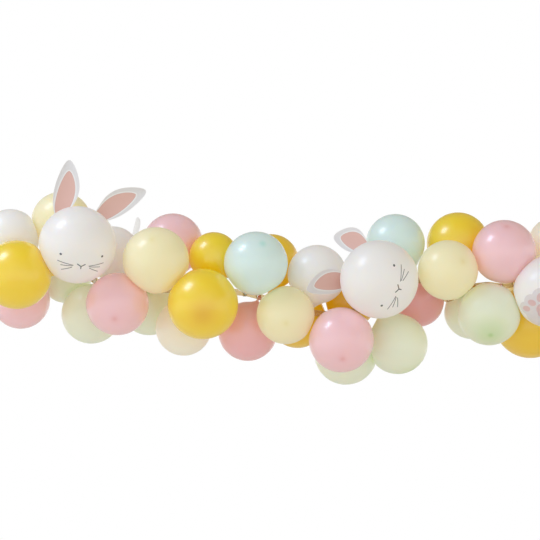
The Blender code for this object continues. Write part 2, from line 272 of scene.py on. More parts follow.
class EarSizes(bpy.types.PropertyGroup):
    """The sizes and colours of the card ears."""

    width: length("Width", "Widest part of an ear", 0.088)
    thickness: length("Thickness", "Thickness of the card", 0.0008)
    cup: length("Cup", "How far the edges of an ear stand forward of its middle", 0.006)
    sideways: length("Bow", "How far an ear bows sideways", 0.010)
    flap: length("Flap", "Length of the glued flap behind the balloon", 0.012)
    middle_width: fraction("Middle's width", "Share of the ear's width", 0.70)
    middle_length: fraction("Middle's length", "Share of the ear's length", 0.80)
    middle_foot: fraction("Middle's foot", "Share of the ear's length below the middle", 0.02, 0.0, 0.3)
    band: length("Pale band", "Width of the pale band round the coloured middle", 0.0050)
    rows: count("Rows", "Rows of faces along an ear", 54, 12, 200)
    columns: count("Columns", "Columns of faces across an ear", 20, 4, 60)
    middle: tint("Middle", "Colour printed on the middle of an ear", 230, 187, 174)
    middle_edge: tint("Middle's edge", "Colour of the line round the middle", 218, 166, 156)
    pale: tint("Pale band", "Colour of the band round the middle", 243, 242, 238)
    border_colour: tint("Border", "Colour printed on the border of an ear", 231, 228, 226)
    card: tint("Card", "Bare card on the back and the cut edges", 247, 244, 238)


class StripSizes(bpy.types.PropertyGroup):
    """The raised rings of the strip, and its colour."""

    ring_width: length("Ring width", "Width of a raised ring", 0.0045)
    ring_height: length("Ring height", "How far a ring stands proud of the strip", 0.0011)
    ring_sides: count("Sides", "Sides of a ring", 32, 8, 96)
    edge: length("Rounded edge", "Width of the strip's rounded edges", 0.0003)
    colour: tint("Colour", "Colour of the clear plastic", 240, 216, 164)


class StageSizes(bpy.types.PropertyGroup):
    """The floor, the lights and the camera."""

    floor_drop: length("Floor", "How far the floor is below the garland's hooks", 2.2)
    floor_radius: length("Floor radius", "Radius of the round floor", 6.5)
    floor_colour: tint("Floor colour", "Colour of the floor", 247, 243, 237)
    key_power: number("Key light", "Power of the key light in watts", 140.0)
    sky_level: number("Sky", "Brightness of the pale surroundings", 0.35)
    front_glow: number("Front glow", "Extra brightness of the surroundings in front", 0.75)
    front_narrowness: number("Front narrowness", "How narrow the front glow is", 3.0, 0.5)
    side_glow: number("Side glow", "Brightness of the glow on the right and below", 0.04)
    side_narrowness: number("Side narrowness", "How narrow the side glow is", 1.5, 0.5)
    sky_colour: tint("Sky colour", "Colour of the even light", 255, 240, 214)
    front_colour: tint("Front colour", "Colour of the front glow", 201, 230, 255)
    side_colour: tint("Side colour", "Colour of the glow on the right and below", 255, 226, 188)
    key_colour: tint("Key colour", "Colour of the key light", 212, 227, 255)
    camera_distance: length("Camera distance", "From the camera to the strip", 6.0)


class Nodes:
    """Adds nodes to a shader tree, and feeds them to its shader where it has one."""

    def __init__(self, tree):
        self.tree = tree
        self.shader = tree.nodes.get("Principled BSDF")

    def feed(self, name, link):
        self.tree.links.new(link.socket, self.shader.inputs[name])

    def add(self, kind, settings=None, sockets=None, output=0):
        """One node: its type, its settings, which are set first, and the values or links of its sockets."""
        node = self.tree.nodes.new("ShaderNode" + kind)
        for name, value in (settings or {}).items():
            setattr(node, name, value)
        for name, value in (sockets or {}).items():
            if isinstance(value, Link):
                self.tree.links.new(value.socket, node.inputs[name])
            else:
                node.inputs[name].default_value = value
        return Link(self, node.outputs[output])

    def vector(self, operation, *values, output=0, **named):
        """A Vector Math node."""
        sockets = dict(enumerate(values))
        sockets.update(named)
        return self.add("VectorMath", {"operation": operation}, sockets, output)

    def mix(self, share, one, two):
        """A colour between two colours."""
        return self.add("Mix", {"data_type": "RGBA"}, {0: share, 6: one, 7: two}, 2)

    def object_place(self):
        return self.add("TexCoord", output=3)

    def noise(self, place, scale, detail=2.0):
        return self.add("TexNoise", None, {"Vector": place, "Scale": scale, "Detail": detail})


class Link:
    """A number on a socket, which works in sums: each sign adds its Math node."""

    def __init__(self, nodes, socket):
        self.nodes = nodes
        self.socket = socket

    def maths(self, operation, *values, clamp=False):
        sockets = dict(enumerate((self,) + values))
        return self.nodes.add("Math", {"operation": operation, "use_clamp": clamp}, sockets)

    def __add__(self, other):
        return self.maths("ADD", other)

    __radd__ = __add__

    def __mul__(self, other):
        return self.maths("MULTIPLY", other)

    __rmul__ = __mul__

    def __sub__(self, other):
        return self.maths("SUBTRACT", other)

    def __rsub__(self, other):
        return (self * -1) + other

    def __truediv__(self, other):
        return self.maths("DIVIDE", other)

    def held(self):
        """The number, kept from 0 to 1."""
        return self.maths("ADD", 0.0, clamp=True)

    def most(self, other):
        return self.maths("MAXIMUM", other)


def solid_colour(colour):
    return (*colour, 1.0)


def new_material(name, sockets):
    """A material with a Principled shader, its plain values set, and its node maker."""
    material = bpy.data.materials.new(name)
    material.use_nodes = True
    nodes = Nodes(material.node_tree)
    for socket, value in sockets.items():
        nodes.shader.inputs[socket].default_value = value
    return material, nodes


def node_points(name):
    """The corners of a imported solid, each once."""
    mesh = frame["nodes"][name].data
    return np.unique(np.array([vert.co for vert in mesh.vertices]).round(5), axis=0)


# A face of the strip whose normal has less than this along y is the wall of a hole or of an edge.
WALL_LEAN = 0.5
WIDEST_HOLE = 0.010
LONGEST_NECK_EDGE = 0.0055
KNOT_REACH = 0.0085
# A packed ball's flat faces lie this much outside the ball that they stand for.
CAD_BULGE = 1.0088
# A ball's size is first guessed from this many of its outermost corners.
OUTERMOST = 6
# How far inside the ball a corner lies when it begins to count less, from the first fit to the last.
FIT_SLACKS = np.geomspace(0.02, 0.002, 60)


def packed_copy(name):
    """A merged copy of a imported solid, as a bmesh."""
    bm = bmesh.new()
    bm.from_mesh(frame["nodes"][name].data)
    bmesh.ops.remove_doubles(bm, verts=bm.verts, dist=PACKED_MERGE)
    return bm


def strip_holes():
    """The middles of the strip's holes from left to right, read from the walls of the holes."""
    bm = packed_copy("strip")
    walls = {face for face in bm.faces if abs(face.normal.y) < WALL_LEAN}
    middles = []
    while walls:
        group = [walls.pop()]
        for face in group:
            near = {other for edge in face.edges for other in edge.link_faces} & walls
            walls -= near
            group.extend(near)
        corners = {vert for face in group for vert in face.verts}
        middle = Vector(np.mean(sorted(vert.co[:] for vert in corners), axis=0))
        if max((vert.co - middle).length for vert in corners) < WIDEST_HOLE:
            middles.append(middle)
    bm.free()
    return sorted(middles, key=lambda middle: middle.x)


def corners_near(corners, hole):
    """How many of a solid's corners are within a knot's reach of a hole."""
    return int((np.linalg.norm(corners - np.array(hole), axis=1) < KNOT_REACH).sum())


class Ball:
    """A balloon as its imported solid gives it: its middle, radius and hole, and how its neck leaves it."""

    def __init__(self, name, holes):
        self.name = name
        word = name.split("_")[1]
        self.latex = PRINTED_LATEX.get(word, word)
        self.middle, self.radius = fitted_ball(self.ball_points())
        corners = node_points(name)
        self.hole = max(holes, key=lambda hole: corners_near(corners, hole))
        self.in_front = self.middle.y < 0.0
        self.inward = BACK if self.in_front else -BACK
        self.axis = BENT_NECK.get(name, (self.hole - self.middle).normalized())
        self.reach = (self.hole - self.middle).dot(self.axis)

    def ball_points(self):
        """The solid's corners without those of its neck, whose edges are short."""
        bm = packed_copy(self.name)
        keep = [vert.co[:] for vert in bm.verts
                if min(edge.calc_length() for edge in vert.link_edges) > LONGEST_NECK_EDGE]
        bm.free()
        return np.array(keep)


def all_balls():
    holes = strip_holes()
    return [Ball(name, holes) for name in sorted(frame["nodes"]) if name.startswith("balloon_")]


def fitted_ball(points):
    """The ball that a solid was cut from. Its flats lie inside it, so the outermost corners count most."""
    centre = (points.max(axis=0) + points.min(axis=0)) / 2
    radius = np.sort(np.linalg.norm(points - centre, axis=1))[-OUTERMOST:].mean()
    for slack in FIT_SLACKS:
        reach = np.linalg.norm(points - centre, axis=1)
        weight = np.exp(-np.clip(radius - reach, 0.0, None) / slack)
        system = np.hstack([2 * points, np.ones((len(points), 1))]) * weight[:, None]
        found = np.linalg.lstsq(system, (points ** 2).sum(axis=1) * weight, rcond=None)[0]
        centre = found[:3]
        radius = sqrt(found[3] + centre @ centre)
    return Vector(centre), radius / CAD_BULGE


def smooth_step(low, high, value):
    share = np.clip((value - low) / (high - low), 0.0, 1.0)
    return share * share * (3 - 2 * share)


def bezier(one, two, three, four, steps):
    """Points along a smooth curve, without its first."""
    points = []
    for step in range(1, steps + 1):
        t = step / steps
        s = 1 - t
        points.append(one * s ** 3 + two * 3 * s * s * t + three * 3 * s * t * t + four * t ** 3)
    return points


class Path:
    """A neck's line, with a square frame at each of its points that turns as little as it can."""

    def __init__(self, points, side, up):
        self.points = points
        self.lengths = [0.0]
        self.sides = [side]
        self.ups = [up]
        last = side.cross(up)
        for one, two in zip(points, points[1:]):
            self.lengths.append(self.lengths[-1] + (two - one).length)
        for index in range(1, len(points)):
            ahead = points[min(index + 1, len(points) - 1)] - points[index - 1]
            turn = last.rotation_difference(ahead.normalized())
            last = ahead.normalized()
            self.sides.append(turn @ self.sides[-1])
            self.ups.append(turn @ self.ups[-1])

    def bend(self, flat):
        """Moves points (across, up, along) from a straight line onto the path."""
        placed = np.zeros_like(flat)
        for axis in range(3):
            line = np.interp(flat[:, 2], self.lengths, [point[axis] for point in self.points])
            side = np.interp(flat[:, 2], self.lengths, [vector[axis] for vector in self.sides])
            up = np.interp(flat[:, 2], self.lengths, [vector[axis] for vector in self.ups])
            placed[:, axis] = line + flat[:, 0] * side + flat[:, 1] * up
        return placed


# Two necks that share a hole pass through it this far to each side of its middle.
SHARED_HOLE_SHIFT = 0.0027
NECK_STEPS = 16
TAIL_STEPS = 10
TAPER_STEPS = 14
KNOT_STEPS = 6
# How hard a neck is pulled straight at its two ends, as a share of the way between them.
NECK_PULL = 0.4
# The tail's curve: how far on and how far down its guiding points are, in shares of its length.
TAIL_GUIDES = ((0.45, 0.0), (0.80, 0.1), (0.85, 0.6))
# How far the taper runs on past its bend: a share of the way before it, and at most of the way after it.
PAST_BEND = 0.6
MOST_PAST_BEND = 0.5
# The rings of the neck, as shares of the way to the hole.
NECK_SHARES = (0.15, 0.3, 0.45, 0.6, 0.75, 0.9, 1.0)
# Behind the strip: where the neck ends and the knot begins, and the knot's length as a share of its width.
NECK_END = 0.0025
NECK_SWELLS = 1.1
KNOT_START = 0.0030
KNOT_LENGTH = 0.8
KNOT_FULLNESS = 0.7
# The tail's rings up to its rolled lip: the place of each, and its width from the neck's to the lip's.
TAIL_RINGS = ((0.58, 0.15), (0.68, 0.30), (0.80, 0.55), (0.92, 0.85), (0.97, 1.05), (1.0, 1.1), (1.02, 1.0),
              (1.01, 0.85), (0.95, 0.65), (0.85, 0.40))
TAIL_FLOOR = 0.75


def neck_path(ball, start, side, up, sizes):
    """The neck's line from its taper through the hole and the knot to the tail's drooping end."""
    shift = Vector((-SHARED_HOLE_SHIFT if ball.in_front else SHARED_HOLE_SHIFT, 0.0, 0.0))
    hole = ball.hole + shift
    inward = ball.inward
    pull = (hole - start).length * NECK_PULL
    points = [start] + bezier(start, start + ball.axis * pull, hole - inward * pull, hole, NECK_STEPS)
    tail = sizes.tail_length
    guides = [hole + inward * tail * onward - UP * tail * down for onward, down in TAIL_GUIDES]
    points += bezier(hole, *guides, TAIL_STEPS)
    return Path(points, side, up)


def ball_part(ball, sizes):
    """The outline of a ball from its crown to the end of its taper, as (along the axis, off the axis)."""
    radius = ball.radius
    spare = ball.reach - radius
    taper = radius + max(spare * sizes.taper_share - sizes.taper_start, spare * sizes.short_taper)
    end = acos(radius / taper)
    points = []
    for step in range(sizes.ball_rings + 1):
        angle = pi + (end - pi) * step / sizes.ball_rings
        points.append((radius * cos(angle), radius * sin(angle)))
    start = points[-1]
    slope = start[1] / (taper - start[0])
    bend = (taper - sizes.neck_radius / slope, sizes.neck_radius)
    finish = bend[0] + min(PAST_BEND * (bend[0] - start[0]), MOST_PAST_BEND * (ball.reach - bend[0]))
    for step in range(1, TAPER_STEPS + 1):
        t = step / TAPER_STEPS
        s = 1 - t
        along = start[0] * s * s + bend[0] * 2 * s * t + finish * t * t
        off = start[1] * s * s + bend[1] * 2 * s * t + sizes.neck_radius * t * t
        points.append((along, off))
    return points, finish


def neck_part(through, sizes):
    """The outline of the neck, the knot and the tail, as (distance from the taper, radius)."""
    knot = sizes.knot_radius
    thin = sizes.strip_neck_radius
    lip = sizes.lip_radius
    tail = sizes.tail_length
    points = [(through * share, sizes.neck_radius + (thin - sizes.neck_radius) * share ** 2)
              for share in NECK_SHARES]
    points.append((through + NECK_END, thin * NECK_SWELLS))
    for step in range(1, KNOT_STEPS):
        angle = pi * step / KNOT_STEPS
        along = through + KNOT_START + knot * KNOT_LENGTH * (1 - cos(angle))
        points.append((along, thin + (knot - thin) * sin(angle) ** KNOT_FULLNESS))
    points += [(through + tail * share, thin + (lip - thin) * width) for share, width in TAIL_RINGS]
    points.append((through + tail * TAIL_FLOOR, 0.0))
    return points


def spun(outline, sides):
    """Spins an outline that starts and ends on the Z axis into a closed mesh."""
    bm = bmesh.new()
    verts = [bm.verts.new((off, 0.0, along)) for along, off in outline]
    edges = [bm.edges.new(pair) for pair in zip(verts, verts[1:])]
    bmesh.ops.spin(bm, geom=verts + edges, axis=(0, 0, 1), cent=(0, 0, 0), steps=sides, angle=tau,
                   use_merge=True)
    bmesh.ops.remove_doubles(bm, verts=bm.verts, dist=SPUN_MERGE)
    bmesh.ops.recalc_face_normals(bm, faces=bm.faces)
    return bm


def stop_plane(middle, start, end, thickness, extra_width):
    """How far a ball may reach before it meets a straight bar, and in which direction."""
    run = end - start
    share = (middle - start).dot(run) / run.length_squared
    nearest = start + run * min(max(share, 0.0), 1.0)
    away = (nearest - middle).normalized()
    reach = thickness + extra_width * hypot(away.x, away.z)
    return away, (nearest - middle).length - reach


STRIP_THICKNESS = 0.0016
STRIP_WIDTH = 0.022
# Half of the gap between two balloons, and what a ball leaves free round a neck and over the strip.
HALF_GAP = 0.0004
NECK_ROOM = 0.0045
STRIP_ROOM = 0.0012
# Neighbours and flats further off than this, in radii, press nothing.
FARTHEST_NEIGHBOUR = 1.3
FARTHEST_FLAT = 1.4
GRAZING = 1e-3
# The flats begin to fade at this share of the way from the ball to the end of its taper.
FLATS_FADE = 0.4


def press_planes(ball, balls, holes):
    """The flats that press a ball, each a direction from its middle and a distance."""
    planes = []
    for other in balls:
        if other is ball:
            continue
        between = other.middle - ball.middle
        distance = between.length
        if distance < (ball.radius + other.radius) * FARTHEST_NEIGHBOUR:
            share = (distance ** 2 + ball.radius ** 2 - other.radius ** 2) / (2 * distance)
            planes.append((between / distance, share - HALF_GAP))
        throat = other.middle + other.axis * other.radius
        planes.append(stop_plane(ball.middle, throat, other.hole, NECK_ROOM, 0.0))
    for start, end in zip(holes, holes[1:]):
        planes.append(stop_plane(ball.middle, start, end, STRIP_THICKNESS / 2 + STRIP_ROOM,
                                 STRIP_WIDTH / 2 - STRIP_THICKNESS / 2))
    return [(away, limit) for away, limit in planes if limit < ball.radius * FARTHEST_FLAT]


def pressed(offsets, planes, softness):
    """Pulls points in towards a ball's middle where flats press it, and rounds the edges of the flats."""
    reach = np.linalg.norm(offsets, axis=1)
    heading = offsets / reach[:, None]
    for away, limit in planes:
        toward = np.clip(heading @ np.array(away), GRAZING, None)
        far = limit / toward
        share = np.clip(0.5 + 0.5 * (far - reach) / softness, 0.0, 1.0)
        reach = far * (1 - share) + reach * share - softness * share * (1 - share)
    return heading * reach[:, None]


# The width of a crown's middle spot in radians.
SPOT_WIDTH = 0.075
# How thick the latex gets on the taper, at which share of the way, and over what length past it the knot's.
TAPER_DEPTH = 0.9
TAPER_DEEPENS = 0.7
KNOT_DEEPENS = 0.02


def thickness_of(ball, flat, finish):
    """How thick the latex is: 0 where it is stretched, 1 where it tapers and 2 at the knot, with painted
    shade added as thickness on the balloons listed for it.
    """
    angle = np.arctan2(np.hypot(flat[:, 0], flat[:, 1]), -flat[:, 2])
    crown = CROWNS.get(ball.name, PLAIN_CROWN)
    core = crown.spot * np.exp(-(angle / SPOT_WIDTH) ** 2)
    cap = crown.depth * np.exp(-(angle / crown.width) ** 2) + core
    deepest = 1.0 + TAPER_DEEPENS * (ball.reach / ball.radius - 1.0)
    neck = smooth_step(1.0, deepest, flat[:, 2] / ball.radius)
    knot = smooth_step(finish, finish + KNOT_DEEPENS, flat[:, 2])
    # The balloons listed for painted shade get more thickness here, and so a deeper colour all over.
    return np.clip(cap + neck * TAPER_DEPTH + PAINTED_SHADE_DEPTH.get(ball.name, 0.0), 0.0, 1.0) + knot


def blow_up(ball, balls, holes, sizes):
    """Makes one balloon: a pressed ball with its taper, neck, knot and rolled lip, all in one skin."""
    outline, finish = ball_part(ball, sizes)
    turn = ball.axis.to_track_quat("Z", "Y").to_matrix()
    start = ball.middle + ball.axis * finish
    path = neck_path(ball, start, turn.col[0], turn.col[1], sizes)
    through = path.lengths[NECK_STEPS]
    outline += [(finish + along, off) for along, off in neck_part(through, sizes)]
    bm = spun(outline, sizes.ball_sides)
    flat = np.array([vert.co for vert in bm.verts])
    offsets = flat @ np.array(turn).T
    squeezed = pressed(offsets, press_planes(ball, balls, holes), sizes.softness)
    keep = smooth_step(ball.radius + (finish - ball.radius) * FLATS_FADE, finish, flat[:, 2])[:, None]
    placed = np.array(ball.middle) + squeezed * (1 - keep) + offsets * keep
    beyond = flat[:, 2] > finish
    straight = flat[beyond] - np.array([0.0, 0.0, finish])
    placed[beyond] = path.bend(straight)
    layer = bm.verts.layers.float.new("thick")
    for vert, place, value in zip(bm.verts, placed, thickness_of(ball, flat, finish)):
        vert.co = place
        vert[layer] = value
    return bm


def add_object(name, data):
    made = bpy.data.objects.new(name, data)
    bpy.context.scene.collection.objects.link(made)
    return made


def mesh_object(bm, name, material):
    """Makes a bmesh an object at the origin."""
    mesh = bpy.data.meshes.new(name)
    bm.to_mesh(mesh)
    bm.free()
    mesh.materials.append(material)
    return add_object(name, mesh)


def finish_piece(bm, name, material, nodes):
    """Makes a bmesh a smooth piece that rides on the garland and stands for its solids."""
    piece = mesh_object(bm, name, material)
    piece.data.shade_smooth()
    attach(piece, BODY)
    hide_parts(*nodes)
    return piece


# How glossy each latex is. The palest ones are nearly satin.
GLOSS = {"white": 0.30, "cream": 0.35, "ivory": 0.35, "green": 0.45, "mint": 0.65, "pink": 0.80,
         "yellow": 0.80}
# A painted glow of the latex, which stands in for light that comes through it and for fill light in its
# shaded recesses, and how near the glow's colour is to the thick latex's.
PAINTED_GLOW = 0.16
PAINTED_GLOW_DEPTH = 0.65
# The latex's cloudy colour and its uneven haze: how fine they are, as noise scales, and how strong.
CLOUD_SCALE = 9.0
CLOUD_DEPTH = 0.12
HAZE_SCALE = 45.0
HAZE_DEPTH = 0.10
LEAST_ROUGHNESS = 0.40


def latex_material(name, thin, thick, gloss):
    """Latex with a soft gloss, deeper where it is thick, and a faint painted glow of a deeper colour, with
    the links to its colour and its glow's colour, for a print.
    """
    material, nodes = new_material(name, {
        "Subsurface Weight": 1.0,
        "Subsurface Radius": (1.0, 0.8, 0.6),
        "Subsurface Scale": 0.2,
        "Specular IOR Level": 0.2 + gloss,
        "Coat Weight": gloss,
        "Coat Roughness": 0.17,
        "Emission Strength": PAINTED_GLOW,
        "Sheen Weight": 0.2,
        "Sheen Roughness": 0.35,
        "Sheen Tint": solid_colour(thick),
    })
    place = nodes.object_place()
    thickness = nodes.add("Attribute", {"attribute_name": "thick"}, output=2)
    cloud = nodes.noise(place, CLOUD_SCALE)
    share = (thickness + (cloud - 0.5) * CLOUD_DEPTH).held()
    knotted = (thickness - 1.0).held()
    colour = nodes.mix(share, solid_colour(thin), solid_colour(thick))
    colour = nodes.mix(knotted, colour, solid_colour([level ** 2 for level in thick]))
    haze = nodes.noise(place, HAZE_SCALE, 4.0)
    nodes.feed("Roughness", haze * HAZE_DEPTH + LEAST_ROUGHNESS)
    # The painted glow's colour: part way from the thin latex's colour to the thick latex's, and the knot's
    # own colour at the knot.
    deeper = [one * (1 - PAINTED_GLOW_DEPTH) + two * PAINTED_GLOW_DEPTH for one, two in zip(thin, thick)]
    through = nodes.mix(knotted, solid_colour(deeper), colour)
    nodes.feed("Base Color", colour)
    nodes.feed("Emission Color", through)
    return material, nodes, (colour, through)


def print_over(nodes, layers, cover, ink):
    """Puts ink on the latex colour and on its painted glow."""
    printed = tuple(nodes.mix(cover, layer, solid_colour(ink)) for layer in layers)
    for name, layer in zip(("Base Color", "Emission Color"), printed):
        nodes.feed(name, layer)
    return printed


# How far the ink's edge fades to each side, in radii, for a fine line and for a broad patch.
LINE_BLEED = 0.0022
PATCH_BLEED = 0.008
INK_COVER = 0.9


def print_turn(facing):
    """How a print is turned: its X to the right on it, its Y into the ball and its Z up."""
    inward = -Vector(facing.outward).normalized()
    up = Vector(facing.upward)
    up = (up - inward * up.dot(inward)).normalized()
    right = inward.cross(up)
    return Matrix((right, inward, up)).transposed().to_euler()


def print_half(nodes, ball, facing):
    """Places on a print in radii, its left half folded onto its right, and 1 on the printed side."""
    place = nodes.add("Mapping", {"vector_type": "TEXTURE"}, {
        "Vector": nodes.object_place(), "Location": ball.middle, "Rotation": print_turn(facing),
        "Scale": (ball.radius, ball.radius, ball.radius)})
    across = nodes.vector("ABSOLUTE", nodes.vector("MULTIPLY", place, (1.0, 0.0, 0.0)))
    height = nodes.vector("MULTIPLY", place, (0.0, 0.0, 1.0))
    depth = nodes.vector("DOT_PRODUCT", place, (0.0, 1.0, 0.0), output=1)
    return nodes.vector("ADD", across, height), depth.maths("LESS_THAN", 0.0)


def any_of(covers):
    """Where at least one of several marks covers the latex."""
    cover, *others = covers
    for other in others:
        cover = cover.most(other)
    return cover


def stroke_cover(nodes, place, stroke):
    """1 on a stroke with round ends and 0 away from it."""
    start = (stroke.start[0], 0.0, stroke.start[1])
    run = Vector((stroke.end[0] - stroke.start[0], 0.0, stroke.end[1] - stroke.start[1]))
    offset = nodes.vector("SUBTRACT", place, start)
    if run.length > 0.0:
        share = (nodes.vector("DOT_PRODUCT", offset, tuple(run), output=1) / run.length_squared).held()
        reached = nodes.vector("SCALE", tuple(run), Scale=share)
        offset = nodes.vector("SUBTRACT", offset, reached)
    distance = nodes.vector("LENGTH", offset, output=1)
    return ((stroke.half_width - distance) / (LINE_BLEED * 2) + 0.5).held()


def print_face(nodes, layers, ball, facing, ink):
    """Prints a rabbit's eyes, nose and whiskers over the latex colour."""
    place, front = print_half(nodes, ball, facing)
    cover = any_of([stroke_cover(nodes, place, stroke) for stroke in FACE_STROKES])
    print_over(nodes, layers, cover * front * INK_COVER, ink)


def spot_cover(nodes, place, spot):
    """1 on an oval spot and 0 away from it."""
    unit = nodes.add("Mapping", {"vector_type": "TEXTURE"}, {
        "Vector": place, "Location": (spot.middle[0], 0.0, spot.middle[1]),
        "Rotation": (0.0, -radians(spot.turn), 0.0),
        "Scale": (spot.half_sizes[0], 1.0, spot.half_sizes[1])})
    distance = nodes.vector("LENGTH", unit, output=1)
    return ((1 - distance) * (spot.half_sizes[1] / (PATCH_BLEED * 2)) + 0.5).held()


def print_paw(nodes, layers, ball, colours):
    """Prints a paw's fur and its pads over the latex colour."""
    place, front = print_half(nodes, ball, PAW)
    for spots, ink in ((FUR, colours.print_fur), (PADS, colours.print_pad)):
        cover = any_of([spot_cover(nodes, place, spot) for spot in spots])
        layers = print_over(nodes, layers, cover * front, ink)


def printed_latex(ball, colours):
    """White latex with this balloon's own print over it."""
    material, nodes, layers = latex_material("printed_" + ball.name, colours.white, colours.white_deep,
                                             GLOSS["white"])
    if ball.name == PAW_BALLOON:
        print_paw(nodes, layers, ball, colours)
    else:
        print_face(nodes, layers, ball, FACES[ball.name], colours.print_ink)
    return material


class GARLAND_OT_balloons(bpy.types.Operator):
    """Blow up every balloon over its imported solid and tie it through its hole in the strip"""

    bl_idname = "garland.balloons"
    bl_label = "Balloons"

    def execute(self, context):
        colours = context.scene.garland_latex
        sizes = context.scene.garland_balloons
        holes = strip_holes()
        balls = all_balls()
        plain = {}
        for latex in sorted(GLOSS):
            thin, thick = getattr(colours, latex), getattr(colours, latex + "_deep")
            plain[latex] = latex_material("latex_" + latex, thin, thick, GLOSS[latex])[0]
        for ball in balls:
            printed = ball.name in FACES or ball.name == PAW_BALLOON
            material = printed_latex(ball, colours) if printed else plain[ball.latex]
            bm = blow_up(ball, balls, holes, sizes)
            finish_piece(bm, ball.name + "_skin", material, [ball.name])
        return {"FINISHED"}


EAR_TIP_WIDTH = 0.0025
# How full an ear is along its length, and how much fuller it is near its tip.
EAR_ROUNDNESS = 0.85
TIP_BLUNTNESS = 0.22
# Where the leaf is cut off at the fold, and the share over which it lifts off the balloon.
FOLD_SHARE = 0.12
FOLD_RISE = 0.10
FLAP_ROWS = 5
OUTLINE_SHARES = np.linspace(0.0, 1.0, 240)
# How wide the coloured middle is at its foot, and how full it is.
FOOT_OF_MIDDLE = 0.15
MIDDLE_ROUNDNESS = 0.62
# What an ear leaves free over a balloon that it leans on.
EAR_ROOM = 0.0012
MILLIMETRE = 0.001


class Leaf:
    """An ear's flat outline and how it stands on its balloon."""

    def __init__(self, ear, ball, sizes):
        self.ear = ear
        self.ball = ball
        self.sizes = sizes
        back = sqrt(1 - ear.foot_x ** 2 - ear.foot_z ** 2)
        self.out = Vector((ear.foot_x, back, ear.foot_z))
        self.seat = ball.radius + sizes.thickness
        self.foot = ball.middle + self.out * self.seat
        run = ball.middle + Vector(ear.tip) - self.foot
        self.length = run.length
        self.along = run.normalized()
        self.side = self.along.cross(Vector(ear.facing)).normalized()
        self.face = self.side.cross(self.along)
        self.backward = (BACK - self.out * self.out.y).normalized()
        self.outline = np.array([(self.half_width(share), share * self.length) for share in OUTLINE_SHARES])
        self.middle = np.array([(self.middle_half(share), share * self.length) for share in OUTLINE_SHARES
                                if self.middle_half(share) > 0.0])

    def half_width(self, share):
        """Half the width at a share of the length from the fold to the tip."""
        place = FOLD_SHARE + (1 - FOLD_SHARE) * share
        roundness = EAR_ROUNDNESS - TIP_BLUNTNESS * share ** 2
        fullness = max(sin(pi * place), 0.0) ** roundness
        return (EAR_TIP_WIDTH + (self.sizes.width - EAR_TIP_WIDTH) * fullness) / 2

    def middle_half(self, share):
        """Half the width of the coloured middle, below zero where there is none."""
        sizes = self.sizes
        place = (share - sizes.middle_foot) / (sizes.middle_length - sizes.middle_foot)
        if not 0.0 < place < 1.0:
            return -1.0
        fuller = FOOT_OF_MIDDLE + (1 - FOOT_OF_MIDDLE) * place
        return sizes.width / 2 * sizes.middle_width * sin(pi * fuller) ** MIDDLE_ROUNDNESS

    def on_ball(self, place):
        return self.ball.middle + (place - self.ball.middle).normalized() * self.seat

    def place(self, share, step):
        """A place on the leaf, from the fold at 0 to the tip at 1, and from edge to edge as -1 to 1."""
        half = self.half_width(share)
        bow = self.sizes.sideways * self.ear.bow * sin(pi * share)
        lift = self.sizes.cup * half / (self.sizes.width / 2)
        centre = self.foot + self.along * self.length * share + self.side * bow
        standing = centre + self.side * half * step + self.face * lift * step ** 2
        seated = self.on_ball(self.foot + self.side * half * step)
        rise = min(share / FOLD_RISE, 1.0)
        return seated.lerp(standing, rise * rise * (3 - 2 * rise))

    def flap_place(self, share, step):
        """A place on the glued flap, from the fold at 0 to its end at 1."""
        fold = self.on_ball(self.foot + self.side * self.half_width(0.0) * step)
        return self.on_ball(fold + self.backward * self.sizes.flap * share)

    def laid_flat(self, share, step):
        return np.array([self.half_width(share) * abs(step), self.length * share])

    def from_edge(self, share, step):
        """The distance of a place on the leaf from its edge."""
        return float(np.linalg.norm(self.outline - self.laid_flat(share, step), axis=1).min())

    def in_middle(self, share, step):
        """How far a place is inside the edge of the coloured middle, and below zero outside it."""
        place = self.laid_flat(share, step)
        distance = float(np.linalg.norm(self.middle - place, axis=1).min())
        return distance if place[0] < self.middle_half(share) else -distance


def lay_over(place, balls, own, thickness):
    """Lifts a place on an ear off the other balloons that it leans on."""
    for ball in balls:
        if ball is own:
            continue
        offset = place - ball.middle
        reach = ball.radius + thickness + EAR_ROOM
        if offset.length < reach:
            place = ball.middle + offset.normalized() * reach
    return place


def cut_ear(leaf, balls):
    """Cuts an ear from card: a grid that is shaped, folded at its foot and given a thickness."""
    sizes = leaf.sizes
    bm = bmesh.new()
    bmesh.ops.create_grid(bm, x_segments=sizes.columns, y_segments=sizes.rows, size=1.0)
    edge = bm.verts.layers.float.new("from_edge")
    middle = bm.verts.layers.float.new("in_middle")
    printed = bm.verts.layers.float.new("printed")
    for vert in bm.verts:
        row = round((vert.co.y + 1) / 2 * sizes.rows)
        step = vert.co.x
        if row < FLAP_ROWS:
            vert.co = leaf.flap_place(1 - row / FLAP_ROWS, step)
            vert[middle] = -sizes.width / MILLIMETRE
        else:
            share = (row - FLAP_ROWS) / (sizes.rows - FLAP_ROWS)
            vert.co = lay_over(leaf.place(share, step), balls, leaf.ball, sizes.thickness)
            vert[edge] = leaf.from_edge(share, step) / MILLIMETRE
            vert[middle] = leaf.in_middle(share, step) / MILLIMETRE
        vert[printed] = 1.0
    bm.normal_update()
    nearest = min(bm.faces, key=lambda face: (face.calc_center_median() - leaf.place(0.5, 0.0)).length)
    if nearest.normal.dot(leaf.face) < 0:
        bmesh.ops.reverse_faces(bm, faces=bm.faces)
    front = set(bm.verts)
    bm.normal_update()
    bmesh.ops.solidify(bm, geom=bm.faces[:] + bm.edges[:] + bm.verts[:], thickness=sizes.thickness)
    for vert in bm.verts:
        if vert not in front:
            vert[printed] = 0.0
    bmesh.ops.recalc_face_normals(bm, faces=bm.faces)
    return bm


